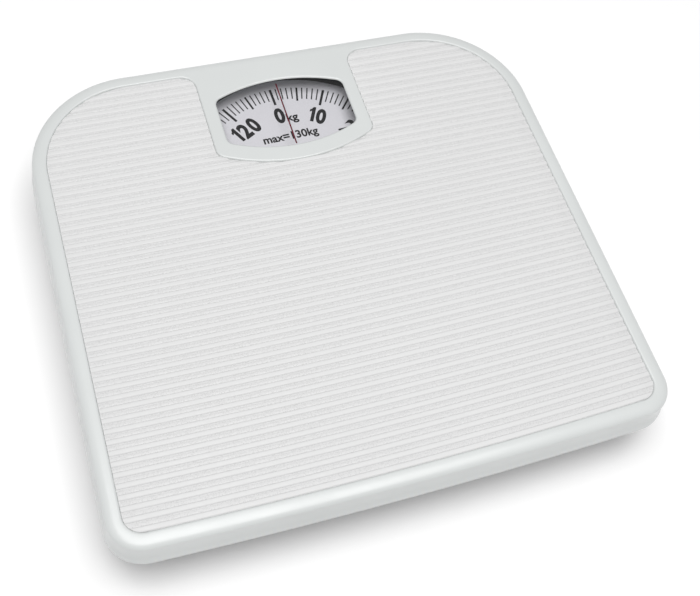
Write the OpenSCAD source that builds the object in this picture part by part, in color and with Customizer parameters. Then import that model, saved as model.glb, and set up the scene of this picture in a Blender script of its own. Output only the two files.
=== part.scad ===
// Mechanical dial platform scale for weighing a person.
// Origin: on the floor, under the middle of the scale.
// +X is the user's right, +Y points away from the user to the dial, +Z is up.

/* [Platform] */
// Width over the lower edge of the skirt
body_w = 270; // [266:1:280]
// Depth over the lower edge of the skirt
body_d = 256; // [254:1:266]
// Height from the floor to the rim of the platform
body_h = 45; // [45:0.5:50]
// Depth of the skirt below the rim
skirt_h = 16; // [14:0.5:18]
// How far the skirt flares out below the bend
skirt_flare = 1.8; // [1:0.1:2.4]
// Outer radius of the two rear corners
rear_corner_r = 56; // [50:1:60]
// Outer radius of the two front corners
front_corner_r = 18; // [16:1:20]
// How far the front edge bows out in its middle
front_bow = 2.2; // [1:0.1:3]

/* [Mat] */
// Width of the painted border round the mat
border = 9.2; // [8:0.2:11]
// Thickness of the mat over its ribs
mat_t = 1.5; // [1.2:0.1:2]
// Spacing of the ribs
rib_pitch = 5.155; // [4:0.005:7]
// Height of a rib above the mat's base
rib_h = 0.6; // [0.3:0.1:0.8]

/* [Window and dial] */
// Half width of the window
window_half_w = 35; // [32:1:36]
// Middle of the window's near edge, measured from the centre of the scale
window_near_y = 63.3; // [62:0.1:65]
// Middle of the window's far edge, measured from the centre of the scale
window_far_y = 106.7; // [104:0.1:108]
// Half width of the raised frame round the window
island_half_w = 42.5; // [41:0.5:45]
// Distance of the dial's centre from the centre of the scale
dial_y = 49; // [48:0.5:50]
// Radius of the dial disc
dial_r = 67; // [63:0.5:68]
// Depth of the dial's face below the rim
dial_drop = 12; // [12:0.5:13]

/* [Mechanism] */
// Teeth on the pinion
pinion_teeth = 10; // [10:1:10]
// Gear module of the rack and pinion
gear_module = 0.5; // [0.5:0.01:0.5]
// Travel of the calibration plate at full load
plate_travel = 7; // [6:0.5:7]
// Distance from a lever's fulcrum to its load pin
load_arm = 15; // [14:0.5:16]

/* [Hidden] */
$fn = 64;
eps = 0.01;

// Sheet metal and heights
sheet = 0.8;
plate_t = 1.5;
foot_h = 4;
floor_z = foot_h + sheet;
rim_under_z = body_h - sheet;
recess_z = body_h - mat_t;
deck_under_z = recess_z - sheet;
skirt_z = body_h - skirt_h;
rim_bend_w = 5;
rim_bend_h = 2.2;
dial_z = body_h - dial_drop;

// Outline of the skirt's lower edge: rear corners, front corners and the bowed front
side_x = body_w / 2;
rear_y_edge = body_d / 2;
rear_cx = side_x - rear_corner_r;
rear_cy = rear_y_edge - rear_corner_r;
front_cx = side_x - front_corner_r;
bow_r = (front_cx * front_cx + front_bow * front_bow) / (2 * front_bow);
bow_cy = -rear_y_edge + bow_r;
bow_angle = asin(front_cx / (bow_r - front_corner_r));
front_cy = bow_cy - (bow_r - front_corner_r) * cos(bow_angle);

// Base tray: its wall leans out as it rises, and ends inside the skirt
base_inset = 11;
base_top_inset = 4.6;
base_top_z = skirt_z + 4;

// Window and the raised frame round it
window_edge_r = 84;
window_near_r = 78;
window_corner_r = 4.5;
island_near_y = 53.7;
island_near_r = 88;
island_corner_r = 6;
island_flare_r = 8;
lens_t = 1.6;
lens_margin = 4;

// Levers: two long ones from the front corners, two short ones from the rear corners
pin_r = 2;
tip_pin_r = 1.5;
pin_len = 14;
tip_pin_len = 10.4;
fulcrum_x = 104;
fulcrum_y = -95;
long_z = 20;
long_h = 8;
tip_x = 15;
tip_y = 103;
rear_x = 98;
rear_y = 92;
short_z = 29;
short_h = 6;
lever_t = 2.5;
lever_end = 3;
meet_y = (rear_y + fulcrum_y) / 2;
meet_x = long_x(meet_y);
cheek_gap = 5;
cheek_w = 9;
tip_cheek_gap = 4.4;
tip_cheek_w = 6;
fit = 0.05;

// Calibration plate, main spring and zero adjustment, all on one upright axis
cal_plate_z = 13.4;
cal_plate_t = 1.4;
cal_top_z = cal_plate_z + cal_plate_t;
cal_half_w = 21;
cal_depth = 12;
tongue_x = 8;
tongue_w = 4;
plug_r = 6.7;
plug_h = 4;
nut_z = 20.6;
nut_h = 4.8;
screw_r = 2.95;
screw_end_z = 19.9;
spring_r = 8;
spring_wire_r = 1.1;
spring_turns = 4;
wheel_z = 26.3;
wheel_h = 2.9;
wheel_reach_y = rear_y_edge - 4.7;
wheel_r = wheel_reach_y - tip_y;
bracket_top_z = 29.5;
bracket_half_w = 26;

// Rack and pinion
pitch_r = pinion_teeth * gear_module / 2;
tooth_pitch = PI * gear_module;
rack_travel = tooth_pitch * pinion_teeth;
addendum = gear_module;
dedendum = 1.3 * gear_module;
mesh_gap = 0.15;
shaft_r = 1.5;
bridge_z = dial_z - 7.8;
rack_z = dial_z - 5.4;
rack_t = 1.5;
pinion_z = dial_z - 5.9;
pinion_h = 2.7;
bearing_z = dial_z - 2.8;
bearing_t = 1;
hub_z = dial_z - 1.6;
hub_flange_r = 6.4;
hub_r = 3;
disc_t = 0.4;
screw_xs = [-9, 10.5];
screw_hole_r = 1.2;
rack_back_x = 7.6;
rack_front_y = 26;
rack_bar_y = 55.3;
rack_rear_y = 63.5;
rack_arm_x = 7;
rack_arm_w = 3.5;
guide_y = 43;
guide_d = 12;
guide_w = 5.2;
bridge_y = 41;
bridge_d = 15;
bridge_half_w = 47.5;

// Bell crank: at rest it leans by crank_angle, at full load as far the other way
crank_y = 68;
crank_z = 11;
crank_x = 4.5;
crank_t = 1.5;
link_pin_r = 0.9;
rack_pin_z = rack_z + rack_t / 2;
crank_rise = rack_pin_z - crank_z;
crank_angle = atan(rack_travel / 2 / crank_rise);
crank_reach = plate_travel / 2 / tan(crank_angle);
cal_pin_y = crank_y + crank_reach;
cal_pin_z = crank_z + plate_travel / 2;
rack_pin_y = crank_y - rack_travel / 2;

// Hold-down springs between the base and the cover
hold_x = 110;
hold_coil_r = 3;
hold_wire_r = 0.5;
hold_eye_r = 2.2;
hold_low_z = 9.5;
hold_high_z = deck_under_z - 4.5;

crank_rivet_xs = [-3.5, 14];

// Spring that returns the rack: its eyes hook over a web of the bridge's tab and of the rack
hook_x = 5.6;
hook_eye_r = 1.2;
hook_wire_r = 0.3;
hook_web = 0.9;

rivet_r = 1.5;
rivet_head_r = 2.4;
rivet_head_h = 0.7;
flange_out = 10;

function long_x(y) = fulcrum_x + (tip_x - fulcrum_x) * (y - fulcrum_y) / (tip_y - fulcrum_y);
function short_x(y) = rear_x + (meet_x - rear_x) * (rear_y - y) / (rear_y - meet_y);

// Points along an arc, from angle a0 to angle a1 in n steps
function arc(cx, cy, r, a0, a1, n) =
    [for (i = [0:n]) let (a = a0 + (a1 - a0) * i / n) [cx + r * cos(a), cy + r * sin(a)]];

// The plan outline, moved in by the given inset. It has the same number of points at any inset.
function plan_outline(inset) = concat(
    arc(front_cx, front_cy, front_corner_r - inset, bow_angle - 90, 0, 8),
    arc(rear_cx, rear_cy, rear_corner_r - inset, 0, 90, 16),
    arc(-rear_cx, rear_cy, rear_corner_r - inset, 90, 180, 16),
    arc(-front_cx, front_cy, front_corner_r - inset, 180, 270 - bow_angle, 8),
    inner_points(arc(0, bow_cy, bow_r - inset, 270 - bow_angle, 270 + bow_angle, 12)));

function inner_points(list) = [for (i = [1:len(list) - 2]) list[i]];

// Half a barrel-shaped end: an arc of radius r with its middle at y_mid, rounded into the sides
// at half_w. Turn is 1 for an end that bulges to -Y and -1 for one that bulges to +Y.
function barrel_end(half_w, y_mid, r, corner_r, turn) =
    let (reach = r - corner_r,
        a = asin((half_w - corner_r) / reach),
        cy = y_mid + turn * (r - reach * cos(a)),
        cx = half_w - corner_r)
    concat(
        [for (p = arc(0, 0, corner_r, 180, 270 - a, 6)) [p[0] - cx, cy + turn * p[1]]],
        [for (p = arc(0, 0, r, 270 - a, 270 + a, 14)) [p[0], y_mid + turn * (p[1] + r)]],
        [for (p = arc(0, 0, corner_r, 270 + a, 360, 6)) [p[0] + cx, cy + turn * p[1]]]);

function reversed(list) = [for (i = [len(list) - 1:-1:0]) list[i]];

// The window, grown by the given margin
function window_outline(grow) = concat(
    barrel_end(window_half_w + grow, window_near_y - grow, window_near_r + grow,
        window_corner_r + grow, 1),
    reversed(barrel_end(window_half_w + grow, window_far_y + grow, window_edge_r + grow,
        window_corner_r + grow, -1)));

// The raised frame, open to the rear border, with flares where it meets the border
function island_outline(grow) =
    let (w = island_half_w + grow,
        y_end = rear_y_edge - border - island_flare_r,
        fr = island_flare_r - grow)
    concat(
        barrel_end(w, island_near_y - grow, island_near_r + grow, island_corner_r + grow, 1),
        arc(w + fr, y_end, fr, 180, 90, 6),
        [[w + fr, rear_y_edge - border / 2], [-w - fr, rear_y_edge - border / 2]],
        arc(-w - fr, y_end, fr, 90, 0, 6));

// The area of the mat, grown by the given margin
module mat_area(grow) {
    difference() {
        polygon(plan_outline(border - grow));
        polygon(island_outline(-grow));
    }
}

// Carries a section, drawn clockwise as [distance out from the outline, height], round the outline
module swept(section) {
    rings = [for (p = section) [for (q = plan_outline(-p[0])) [q[0], q[1], p[1]]]];
    across = len(section);
    round = len(rings[0]);
    polyhedron(points = [for (r = rings) each r], faces = [
        for (j = [0:across - 1]) for (i = [0:round - 1])
            let (a = j * round + i, b = j * round + (i + 1) % round,
                c = (j + 1) % across * round + (i + 1) % round, d = (j + 1) % across * round + i)
            each [[a, b, c], [a, c, d]]]);
}

// A flat plate in the YZ plane, from x for a thickness t, drawn as [y, z]
module upright(x, t) {
    translate([x, 0, 0]) rotate([90, 0, 90]) linear_extrude(t) children();
}

// A round bar along X, centred on a point
module cross_pin(x, y, z, r, len) {
    translate([x, y, z]) rotate([0, 90, 0]) cylinder(r = r, h = len, center = true);
}

// Tube swept along points, with frames carried from ring to ring
function unit(v) = v / norm(v);
function along(p, i) = unit(p[min(i + 1, len(p) - 1)] - p[max(i - 1, 0)]);
function carried(p, n, i) =
    i >= len(p) ? [] :
    let (t = along(p, i), m = unit(n - t * (n * t))) concat([m], carried(p, m, i + 1));

module wire(path, r, start_normal, sides = 8) {
    ring_normals = carried(path, start_normal, 0);
    last = len(path) - 1;
    pts = [for (i = [0:last])
        let (t = along(path, i), n = ring_normals[i], b = cross(t, n))
        for (k = [0:sides - 1])
            path[i] + r * (cos(360 * k / sides) * n + sin(360 * k / sides) * b)];
    polyhedron(points = pts, faces = concat(
        [for (i = [0:last - 1]) for (k = [0:sides - 1])
            let (m = (k + 1) % sides, a = i * sides + k, b = a + sides,
                c = (i + 1) * sides + m, d = i * sides + m)
            each [[a, b, c], [a, c, d]]],
        [[for (k = [0:sides - 1]) k], [for (k = [sides - 1:-1:0]) last * sides + k]]));
}

// Helix about Z, starting and ending on +X
function helix(r, z0, z1, turns, per_turn) =
    [for (i = [0:turns * per_turn])
        let (a = 360 * i / per_turn)
        [r * cos(a), r * sin(a), z0 + (z1 - z0) * i / (turns * per_turn)]];

// Tension spring along Z with an eye at each end, in the XZ plane, and a smooth run into the coil
function eye_spring(coil_r, eye_r, low_z, high_z, turns, per_turn) =
    let (lead = 1.6,
        eye = [for (a = [-250:25:0]) [eye_r * cos(a), 0, eye_r * sin(a)]],
        run = [for (t = [0.3:0.3:0.9])
            [eye_r + (coil_r - eye_r) * t, -0.4 * sin(180 * t), lead * t]],
        low = [for (p = concat(eye, run)) p + [0, 0, low_z + eye_r]],
        high = [for (p = reversed(concat(eye, run))) [p[0], -p[1], high_z - eye_r - p[2]]])
    concat(low, helix(coil_r, low_z + eye_r + lead + 0.4, high_z - eye_r - lead - 0.4, turns, per_turn),
        high);

function bracket_places() = [[fulcrum_x, fulcrum_y, long_z], [rear_x, rear_y, short_z]];

// Places of the rivets that hold the brackets to the base
function rivet_places() = concat(
    [for (s = [-1, 1]) for (b = bracket_places()) for (t = [-1, 1]) [s * b[0] + t * 9, b[1]]],
    [for (s = [-1, 1]) for (t = [-1, 1]) [s * (bracket_half_w + 5), tip_y + t * 3]],
    [for (s = [-1, 1]) for (t = [-1, 1])
        [s * (bridge_half_w + 5), bridge_y + bridge_d / 2 + t * 4]],
    [for (x = crank_rivet_xs) [x, crank_y]]);

function foot_places() = [[-98, -70], [98, -70], [-90, 66], [90, 66]];

module base_tray() color("gainsboro") {
    floor_inset = base_inset + 5;
    section = [[-floor_inset, floor_z], [-base_inset - sheet, floor_z],
        [-base_top_inset - sheet, base_top_z], [-base_top_inset, base_top_z],
        [-base_inset, foot_h], [-floor_inset, foot_h]];
    difference() {
        union() {
            swept(section);
            translate([0, 0, foot_h]) linear_extrude(sheet) polygon(plan_outline(base_inset + 3));
            for (s = [-1, 1]) hold_tab(s * hold_x, floor_z, hold_low_z + 2.2, hold_low_z);
        }
        for (p = rivet_places()) translate([p[0], p[1], foot_h - 1]) cylinder(r = rivet_r, h = 4);
        for (p = foot_places()) translate([p[0], p[1], foot_h - 1]) cylinder(r = 3, h = 4);
        translate([-12, rear_y_edge - 15, wheel_z - 0.8]) cube([24, 20, wheel_h + 1.6]);
    }
}

// Upright tab with a cross hole, for the eye of a hold-down spring
module hold_tab(x, z0, z1, hole_z) {
    difference() {
        translate([x - sheet / 2, -5, z0]) cube([sheet, 10, z1 - z0]);
        cross_pin(x, 0, hole_z, 1.1, 4);
    }
}

module feet() color("dimgray") {
    for (p = foot_places()) translate([p[0], p[1], 0]) rotate_extrude()
        polygon([[0, 0], [10, 0], [11, 1], [11, foot_h], [2.98, foot_h], [2.98, floor_z],
            [3.6, floor_z], [2.4, floor_z + 1.8], [0, floor_z + 1.8]]);
}

// Two cheeks with notches that open upwards, on a flange riveted to the base
module fulcrum_bracket(x, y, z) color("silver") {
    difference() {
        union() {
            translate([x - 13, y - 5, floor_z]) cube([26, 10, plate_t]);
            for (s = [-1, 1])
                translate([x + s * cheek_gap - plate_t / 2, y - cheek_w / 2, floor_z])
                    cube([plate_t, cheek_w, z + 2.2 - floor_z]);
        }
        cross_pin(x, y, z, pin_r + fit, pin_len);
        translate([x - pin_len / 2, y - pin_r - fit, z]) cube([pin_len, 2 * (pin_r + fit), 6]);
        for (s = [-1, 1]) translate([x + s * 9, y, floor_z - 1]) cylinder(r = rivet_r, h = 4);
    }
}

module fulcrum_bracket_front_right() fulcrum_bracket(fulcrum_x, fulcrum_y, long_z);
module fulcrum_bracket_front_left() fulcrum_bracket(-fulcrum_x, fulcrum_y, long_z);
module fulcrum_bracket_rear_right() fulcrum_bracket(rear_x, rear_y, short_z);
module fulcrum_bracket_rear_left() fulcrum_bracket(-rear_x, rear_y, short_z);

// Portal of sheet steel on two riveted flanges, with its top at z
module portal(half_w, y, depth, z) {
    translate([-half_w, y, z]) cube([2 * half_w, depth, plate_t]);
    for (s = [0, 1]) mirror([s, 0, 0]) {
        translate([half_w - plate_t, y, floor_z]) cube([plate_t, depth, z + plate_t - floor_z]);
        translate([half_w - plate_t, y, floor_z]) cube([flange_out, depth, plate_t]);
    }
}

module spring_bracket() color("silver") {
    difference() {
        portal(bracket_half_w, tip_y - 6, 12, bracket_top_z);
        translate([0, tip_y, bracket_top_z - 1]) cylinder(r = screw_r + fit, h = 4);
        for (s = [-1, 1]) for (t = [-1, 1])
            translate([s * (bracket_half_w + 5), tip_y + t * 3, floor_z - 1])
                cylinder(r = rivet_r, h = 4);
    }
}

module dial_bridge() color("silver") {
    difference() {
        union() {
            portal(bridge_half_w, bridge_y, bridge_d, bridge_z);
            translate([2, 0, bridge_z]) cube([7, bridge_y + 1, plate_t]);
            translate([2, 0, bridge_z]) cube([7, plate_t, rack_pin_z + hook_web / 2 - bridge_z]);
        }
        translate([0, dial_y, bridge_z - 1]) cylinder(r = shaft_r + fit, h = 4);
        translate([hook_x, 0, rack_pin_z - hook_eye_r]) rotate([90, 0, 0])
            cylinder(r = hook_eye_r - hook_web / 2, h = 4, center = true);
        for (x = screw_xs) translate([x, dial_y, bridge_z - 1]) cylinder(r = screw_hole_r, h = 4);
        for (s = [-1, 1]) for (t = [-1, 1])
            translate([s * (bridge_half_w + 5), bridge_y + bridge_d / 2 + t * 4, floor_z - 1])
                cylinder(r = rivet_r, h = 4);
    }
}

// Guides the back of the rack and carries one end of the bearing plate
module rack_guide() color("ivory") {
    block_z = bridge_z + plate_t;
    difference() {
        union() {
            translate([rack_back_x + 0.15, guide_y, block_z])
                cube([guide_w, guide_d, bearing_z - block_z]);
            translate([4, guide_y, block_z])
                cube([rack_back_x + 0.2 - 4, guide_d, rack_z - 0.1 - block_z]);
            translate([-11.5, guide_y + 3, block_z]) cube([5, 6, bearing_z - block_z]);
            translate([-11.5, guide_y, block_z]) cube([16, 2.2, 0.6]);
            translate([-11.5, guide_y, block_z]) cube([5, 4, 0.6]);
        }
        for (x = screw_xs) translate([x, dial_y, block_z - 1]) cylinder(r = screw_hole_r, h = 8);
    }
}

module bearing_plate() color("goldenrod") {
    difference() {
        translate([-12, dial_y - 5, bearing_z]) cube([25, 10, bearing_t]);
        translate([0, dial_y, bearing_z - 1]) cylinder(r = shaft_r + fit, h = 4);
        for (x = screw_xs) translate([x, dial_y, bearing_z - 1]) cylinder(r = screw_hole_r, h = 4);
    }
}

module bearing_screws() color("gray") {
    head_z = bearing_z + bearing_t;
    for (x = screw_xs) translate([x, dial_y, 0]) difference() {
        union() {
            translate([0, 0, bridge_z - 1]) cylinder(r = screw_hole_r - eps, h = head_z + 1 - bridge_z);
            translate([0, 0, head_z]) cylinder(r = 2, h = 1);
        }
        translate([-2.5, -0.25, head_z + 0.5]) cube([5, 0.5, 1]);
    }
}

module crank_bracket() color("silver") {
    cheek_t = 1.2;
    side_gap = 1.3;
    difference() {
        union() {
            translate([-7, crank_y - 4, floor_z]) cube([25, 8, plate_t]);
            for (x = [crank_x - side_gap - cheek_t, crank_x + crank_t + side_gap])
                translate([x, crank_y - 4, floor_z]) cube([cheek_t, 8, crank_z + 3 - floor_z]);
        }
        cross_pin(crank_x, crank_y, crank_z, shaft_r + eps, 20);
        for (x = crank_rivet_xs) translate([x, crank_y, floor_z - 1]) cylinder(r = rivet_r, h = 4);
    }
}

module crank_pivot_pin() color("gray") {
    cross_pin(crank_x + crank_t / 2, crank_y, crank_z, shaft_r, 7.4);
}

module frame_rivets() color("gray") {
    for (p = rivet_places()) translate([p[0], p[1], foot_h]) {
        cylinder(r = rivet_r - 0.01, h = sheet + plate_t);
        translate([0, 0, -rivet_head_h]) cylinder(r = rivet_head_r, h = rivet_head_h);
        translate([0, 0, sheet + plate_t]) cylinder(r = rivet_head_r, h = rivet_head_h);
    }
}

// Section through the border, the bend and the flared skirt
function skirt_section() =
    let (rim = -skirt_flare,
        mid = [rim + 0.2, body_h - 0.45 * skirt_h],
        low = [-0.4, skirt_z + 0.25 * skirt_h],
        outer = concat([[-border + 1, body_h]], rim_bend(rim, 0, [90:-22.5:0]),
            [mid, low, [0, skirt_z]]),
        inner = concat([[-sheet, skirt_z], low - [sheet, 0], mid - [sheet, 0]],
            rim_bend(rim, sheet, [0:22.5:90]), [[-border + 1, rim_under_z]]))
    concat(outer, inner);

// Wide soft bend from the rim into the skirt, a quarter of an ellipse, moved in by the sheet
function rim_bend(rim, inward, angles) =
    [for (a = angles) [rim - rim_bend_w + (rim_bend_w - inward) * cos(a),
        body_h - rim_bend_h + (rim_bend_h - inward) * sin(a)]];

module platform_cover() color("whitesmoke") {
    swept(skirt_section());
    difference() {
        translate([0, 0, deck_under_z]) linear_extrude(body_h - deck_under_z)
            polygon(plan_outline(border - 1.5));
        translate([0, 0, recess_z]) linear_extrude(mat_t + 1) mat_area(0);
        translate([0, 0, deck_under_z - 1]) linear_extrude(rim_under_z - deck_under_z + 1)
            difference() {
                polygon(plan_outline(0));
                mat_area(sheet);
            }
        translate([0, 0, deck_under_z - 1]) linear_extrude(6) polygon(window_outline(0));
    }
}

// Ribbed mat: the ribs run along X, and the last one ends at the mat's rear edge
module platform_mat() color("white") {
    base_z = body_h - rib_h;
    first_y = -rear_y_edge + border;
    count = ceil((body_d - 2 * border) / rib_pitch);
    ribs = [for (i = [0:count - 1])
        let (y = first_y + i * rib_pitch)
        each [[y, base_z], [y + 0.16 * rib_pitch, body_h], [y + 0.6 * rib_pitch, body_h],
            [y + 0.78 * rib_pitch, base_z]]];
    intersection() {
        translate([-side_x, 0, 0]) rotate([90, 0, 90]) linear_extrude(body_w)
            polygon(concat([[first_y - 2, recess_z], [first_y - 2, base_z]], ribs,
                [[-first_y + 2, base_z], [-first_y + 2, recess_z]]));
        translate([0, 0, recess_z]) linear_extrude(mat_t) mat_area(-0.15);
    }
}

module window_lens() color("lightcyan", 0.4) {
    translate([0, 0, rim_under_z - lens_t]) linear_extrude(lens_t)
        polygon(window_outline(lens_margin));
}

module index_hairline() color("crimson") {
    translate([-0.35, window_near_y + 2, rim_under_z - lens_t - 0.15])
        cube([0.7, window_far_y - window_near_y - 2.5, 0.15]);
}

// Four bent clips under the frame that hold the lens up by its edge
module lens_clips() color("silver") {
    for (s = [0, 1]) mirror([s, 0, 0]) for (y = [76, 92]) {
        translate([window_half_w + lens_margin - 2.5, y, rim_under_z - lens_t - 0.6])
            cube([5, 4, 0.6]);
        translate([window_half_w + lens_margin + 0.3, y, rim_under_z - lens_t - 0.6])
            cube([2.2, 4, lens_t + 0.6]);
    }
}

// Two cheeks that hang from the deck and bear on a lever's load pin
module load_post(x, y, z) color("silver") {
    difference() {
        union() {
            translate([x - 10, y - 6, deck_under_z - 1]) cube([20, 12, 1]);
            for (s = [-1, 1])
                translate([x + s * cheek_gap - plate_t / 2, y - cheek_w / 2, z - 2.2])
                    cube([plate_t, cheek_w, deck_under_z - z + 2.2]);
        }
        cross_pin(x, y, z, pin_r + 0.1, pin_len);
        translate([x - pin_len / 2, y - pin_r - 0.1, z - 6]) cube([pin_len, 2 * (pin_r + 0.1), 6]);
    }
}

module load_post_front_right() load_post(long_x(fulcrum_y + load_arm), fulcrum_y + load_arm, long_z);
module load_post_front_left() load_post(-long_x(fulcrum_y + load_arm), fulcrum_y + load_arm, long_z);
module load_post_rear_right() load_post(short_x(rear_y - load_arm), rear_y - load_arm, short_z);
module load_post_rear_left() load_post(-short_x(rear_y - load_arm), rear_y - load_arm, short_z);

module cover_spring_tabs() color("silver") {
    for (s = [-1, 1]) hold_tab(s * hold_x, hold_high_z - 2.2, deck_under_z, hold_high_z);
}

module platform_springs() color("darkgray") {
    for (s = [-1, 1]) translate([s * hold_x, 0, 0])
        wire(eye_spring(hold_coil_r, hold_eye_r, hold_low_z, hold_high_z, 12, 12),
            hold_wire_r, [0, 1, 0], 6);
}

// Flat bar on edge between two points in plan
module bar(x1, y1, x2, y2, z, h) {
    len = norm([x2 - x1, y2 - y1]);
    translate([x1, y1, z - h / 2]) rotate([0, 0, atan2(y2 - y1, x2 - x1)])
        translate([-lever_end, -lever_t / 2, 0]) cube([len + 2 * lever_end, lever_t, h]);
}

module long_lever(side) color("lightslategray") mirror([side, 0, 0]) difference() {
    bar(fulcrum_x, fulcrum_y, tip_x, tip_y, long_z, long_h);
    cross_pin(fulcrum_x, fulcrum_y, long_z, pin_r + eps, pin_len);
    cross_pin(long_x(fulcrum_y + load_arm), fulcrum_y + load_arm, long_z, pin_r + eps, pin_len);
    cross_pin(tip_x, tip_y, long_z, tip_pin_r + eps, pin_len);
}

module long_lever_pins(side) color("gray") mirror([side, 0, 0]) {
    cross_pin(fulcrum_x, fulcrum_y, long_z, pin_r, pin_len);
    cross_pin(long_x(fulcrum_y + load_arm), fulcrum_y + load_arm, long_z, pin_r, pin_len);
    cross_pin(tip_x, tip_y, long_z, tip_pin_r, tip_pin_len);
}

// Notched seat on the long lever that carries the tip of the short lever
module lever_saddle(side) color("silver") mirror([side, 0, 0]) difference() {
    seat_z = long_z + long_h / 2;
    union() {
        translate([meet_x - 6.5, meet_y - 4, seat_z]) cube([13, 8, 1.2]);
        for (s = [-1, 1]) translate([meet_x + s * cheek_gap - 0.75, meet_y - 4, seat_z])
            cube([1.5, 8, short_z + 1.5 - seat_z]);
    }
    cross_pin(meet_x, meet_y, short_z, tip_pin_r + 0.35, pin_len);
    translate([meet_x - 7, meet_y - tip_pin_r - 0.35, short_z])
        cube([14, 2 * (tip_pin_r + 0.35), 4]);
}

module short_lever(side) color("lightslategray") mirror([side, 0, 0]) difference() {
    bar(rear_x, rear_y, meet_x, meet_y, short_z, short_h);
    cross_pin(rear_x, rear_y, short_z, pin_r + eps, pin_len);
    cross_pin(short_x(rear_y - load_arm), rear_y - load_arm, short_z, pin_r + eps, pin_len);
    cross_pin(meet_x, meet_y, short_z, tip_pin_r + eps, pin_len);
}

module short_lever_pins(side) color("gray") mirror([side, 0, 0]) {
    cross_pin(rear_x, rear_y, short_z, pin_r, pin_len);
    cross_pin(short_x(rear_y - load_arm), rear_y - load_arm, short_z, pin_r, pin_len);
    cross_pin(meet_x, meet_y, short_z, tip_pin_r, pin_len - 1);
}

module long_lever_right() long_lever(0);
module long_lever_left() long_lever(1);
module long_lever_right_pins() long_lever_pins(0);
module long_lever_left_pins() long_lever_pins(1);
module lever_saddle_right() lever_saddle(0);
module lever_saddle_left() lever_saddle(1);
module short_lever_right() short_lever(0);
module short_lever_left() short_lever(1);
module short_lever_right_pins() short_lever_pins(0);
module short_lever_left_pins() short_lever_pins(1);

// Carries the tips of the long levers and the lower end of the main spring
module calibration_plate() color("goldenrod") difference() {
    union() {
        translate([-cal_half_w, tip_y - cal_depth / 2, cal_plate_z])
            cube([2 * cal_half_w, cal_depth, cal_plate_t]);
        translate([tongue_x, cal_pin_y - 3, cal_plate_z])
            cube([tongue_w, tip_y - cal_pin_y, cal_plate_t]);
        translate([tongue_x, cal_pin_y - 3, cal_plate_z]) cube([1.5, 6, 3.4]);
        for (s = [-1, 1]) for (t = [-1, 1])
            translate([s * tip_x + t * tip_cheek_gap - 0.6, tip_y - tip_cheek_w / 2, cal_plate_z])
                cube([1.2, tip_cheek_w, long_z + 1.8 - cal_plate_z]);
    }
    for (s = [-1, 1]) {
        cross_pin(s * tip_x, tip_y, long_z, tip_pin_r + 0.25, 12);
        translate([s * tip_x - 6, tip_y - tip_pin_r - 0.25, long_z])
            cube([12, 2 * (tip_pin_r + 0.25), 4]);
    }
    cross_pin(tongue_x, cal_pin_y, cal_pin_z, link_pin_r + eps, 8);
    translate([0, tip_y, cal_plate_z - 1]) cylinder(r = 2, h = 4);
}

module calibration_pin() color("gray") {
    pin_from = crank_x - 0.8;
    cross_pin((pin_from + tongue_x + 1.5) / 2, cal_pin_y, cal_pin_z, link_pin_r,
        tongue_x + 1.5 - pin_from);
}

// Plug inside the lower coils of the main spring, riveted to the calibration plate
module spring_plug() color("gray") translate([0, tip_y, 0]) {
    translate([0, 0, cal_top_z]) cylinder(r = plug_r, h = plug_h);
    translate([0, 0, cal_plate_z - 0.5]) cylinder(r = 1.99, h = cal_plate_t + 1);
    translate([0, 0, cal_plate_z - 0.6]) cylinder(r = 3.2, h = 0.6);
}

module main_spring() color("slategray") translate([0, tip_y, 0])
    wire(helix(spring_r, cal_top_z + spring_wire_r + 0.1, wheel_z - 0.3 - spring_wire_r,
        spring_turns, 20), spring_wire_r, [1, 0, 0]);

module anchor_nut() color("goldenrod") translate([0, tip_y, 0]) difference() {
    translate([0, 0, nut_z]) cylinder(r = plug_r, h = nut_h);
    translate([0, 0, nut_z - 1]) cylinder(r = screw_r + fit, h = nut_h + 2);
}

module zero_screw() color("gray") translate([0, tip_y, 0]) {
    translate([0, 0, screw_end_z]) cylinder(r = screw_r, h = bracket_top_z + plate_t - screw_end_z);
    translate([0, 0, bracket_top_z + plate_t]) cylinder(r = 5, h = 1);
}

// Knurled wheel on the zero screw, whose rim comes out through the base's rear wall
module zero_wheel() color("dimgray") translate([0, tip_y, wheel_z]) difference() {
    cylinder(r = wheel_r, h = wheel_h);
    translate([0, 0, -1]) cylinder(r = screw_r + eps, h = wheel_h + 2);
    for (a = [0:10:350]) rotate([0, 0, a]) translate([wheel_r + 0.5, 0, -1])
        cylinder(r = 1, h = wheel_h + 2, $fn = 16);
}

// Plate with a forked arm to the calibration pin and a forked arm up to the rack pin
module bell_crank() color("silver") upright(crank_x, crank_t)
    translate([crank_y, crank_z]) rotate(crank_angle) difference() {
        reach = crank_reach / cos(crank_angle);
        rise = crank_rise / cos(crank_angle);
        slot_w = 2 * link_pin_r + 0.5;
        union() {
            circle(r = 3.6);
            translate([0, -2]) square([reach + 1.2, 4]);
            translate([-2.4, 0]) square([4.8, rise + 1.3]);
        }
        circle(r = shaft_r + fit);
        translate([crank_reach - link_pin_r - 0.3, -slot_w / 2]) square([5, slot_w]);
        translate([-slot_w / 2, crank_rise - link_pin_r - 0.3]) square([slot_w, 6]);
    }

// One rack tooth pointing to -X at height y along the rack
function rack_tooth(y) =
    let (w = tooth_pitch / 2 - 0.1, slope = tan(20), px = pitch_r + mesh_gap)
    [[px + dedendum, y - w / 2 - slope * dedendum], [px - addendum, y - w / 2 + slope * addendum],
        [px - addendum, y + w / 2 - slope * addendum], [px + dedendum, y + w / 2 + slope * dedendum]];

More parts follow.
